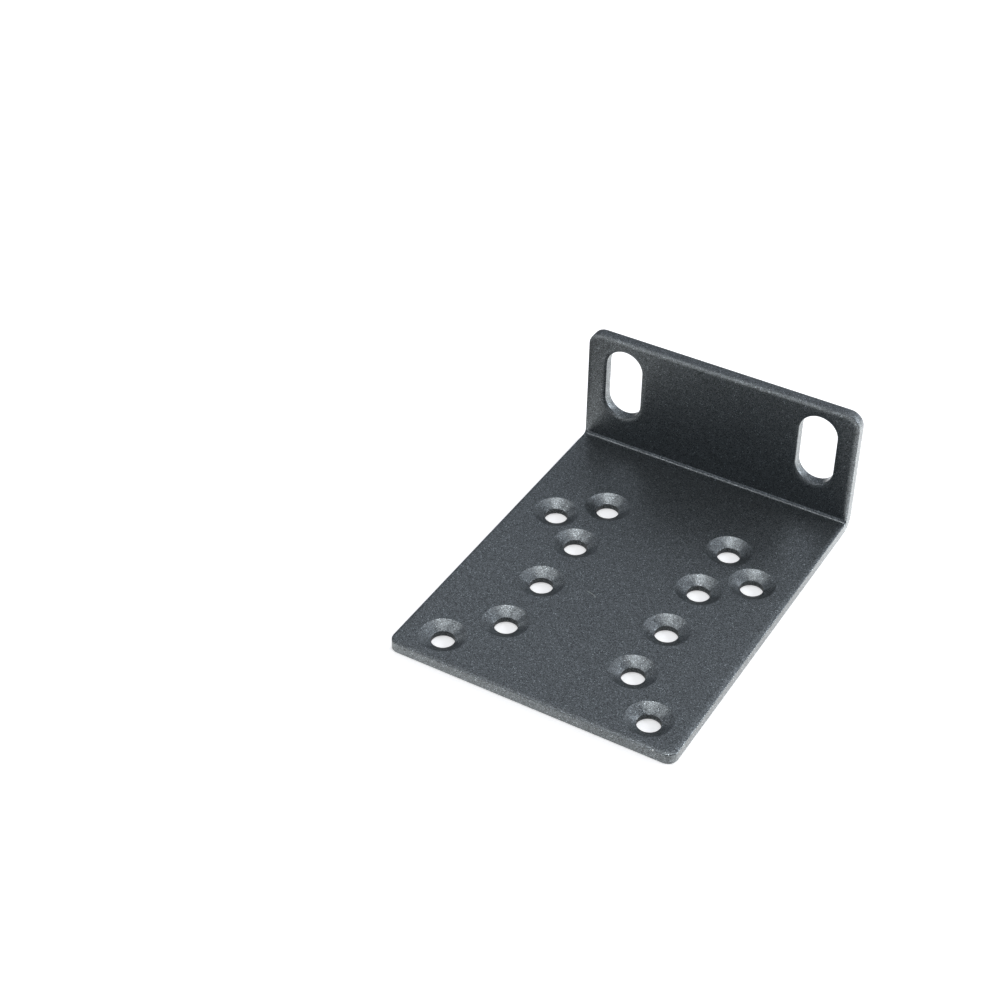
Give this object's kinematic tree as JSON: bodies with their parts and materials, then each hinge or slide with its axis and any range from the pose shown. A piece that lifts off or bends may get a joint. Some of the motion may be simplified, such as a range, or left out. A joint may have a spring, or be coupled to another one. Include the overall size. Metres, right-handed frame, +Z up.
{
  "type": "rack mount ear bracket",
  "caption": "Folded sheet-steel ear bracket: a side plate with countersunk screw holes and an upright flange with vertical slots, for fastening small equipment to rack rails.",
  "frame": {"origin": "on the side plate's underside, under the centre of the part's bounding box", "axes": "+X along the fold, +Y out of the rack flange's outer face and away from the side plate, +Z up from the side plate's underside towards the flange's free edge"},
  "size_m": [0.044, 0.0584, 0.0205],
  "materials": {
    "powder_coat": "matte charcoal powder coat with a fine sandy grain and tiny pale specks"
  },
  "bodies": {
    "root": {"ear_bracket": "powder_coat"}
  },
  "joints": []
}
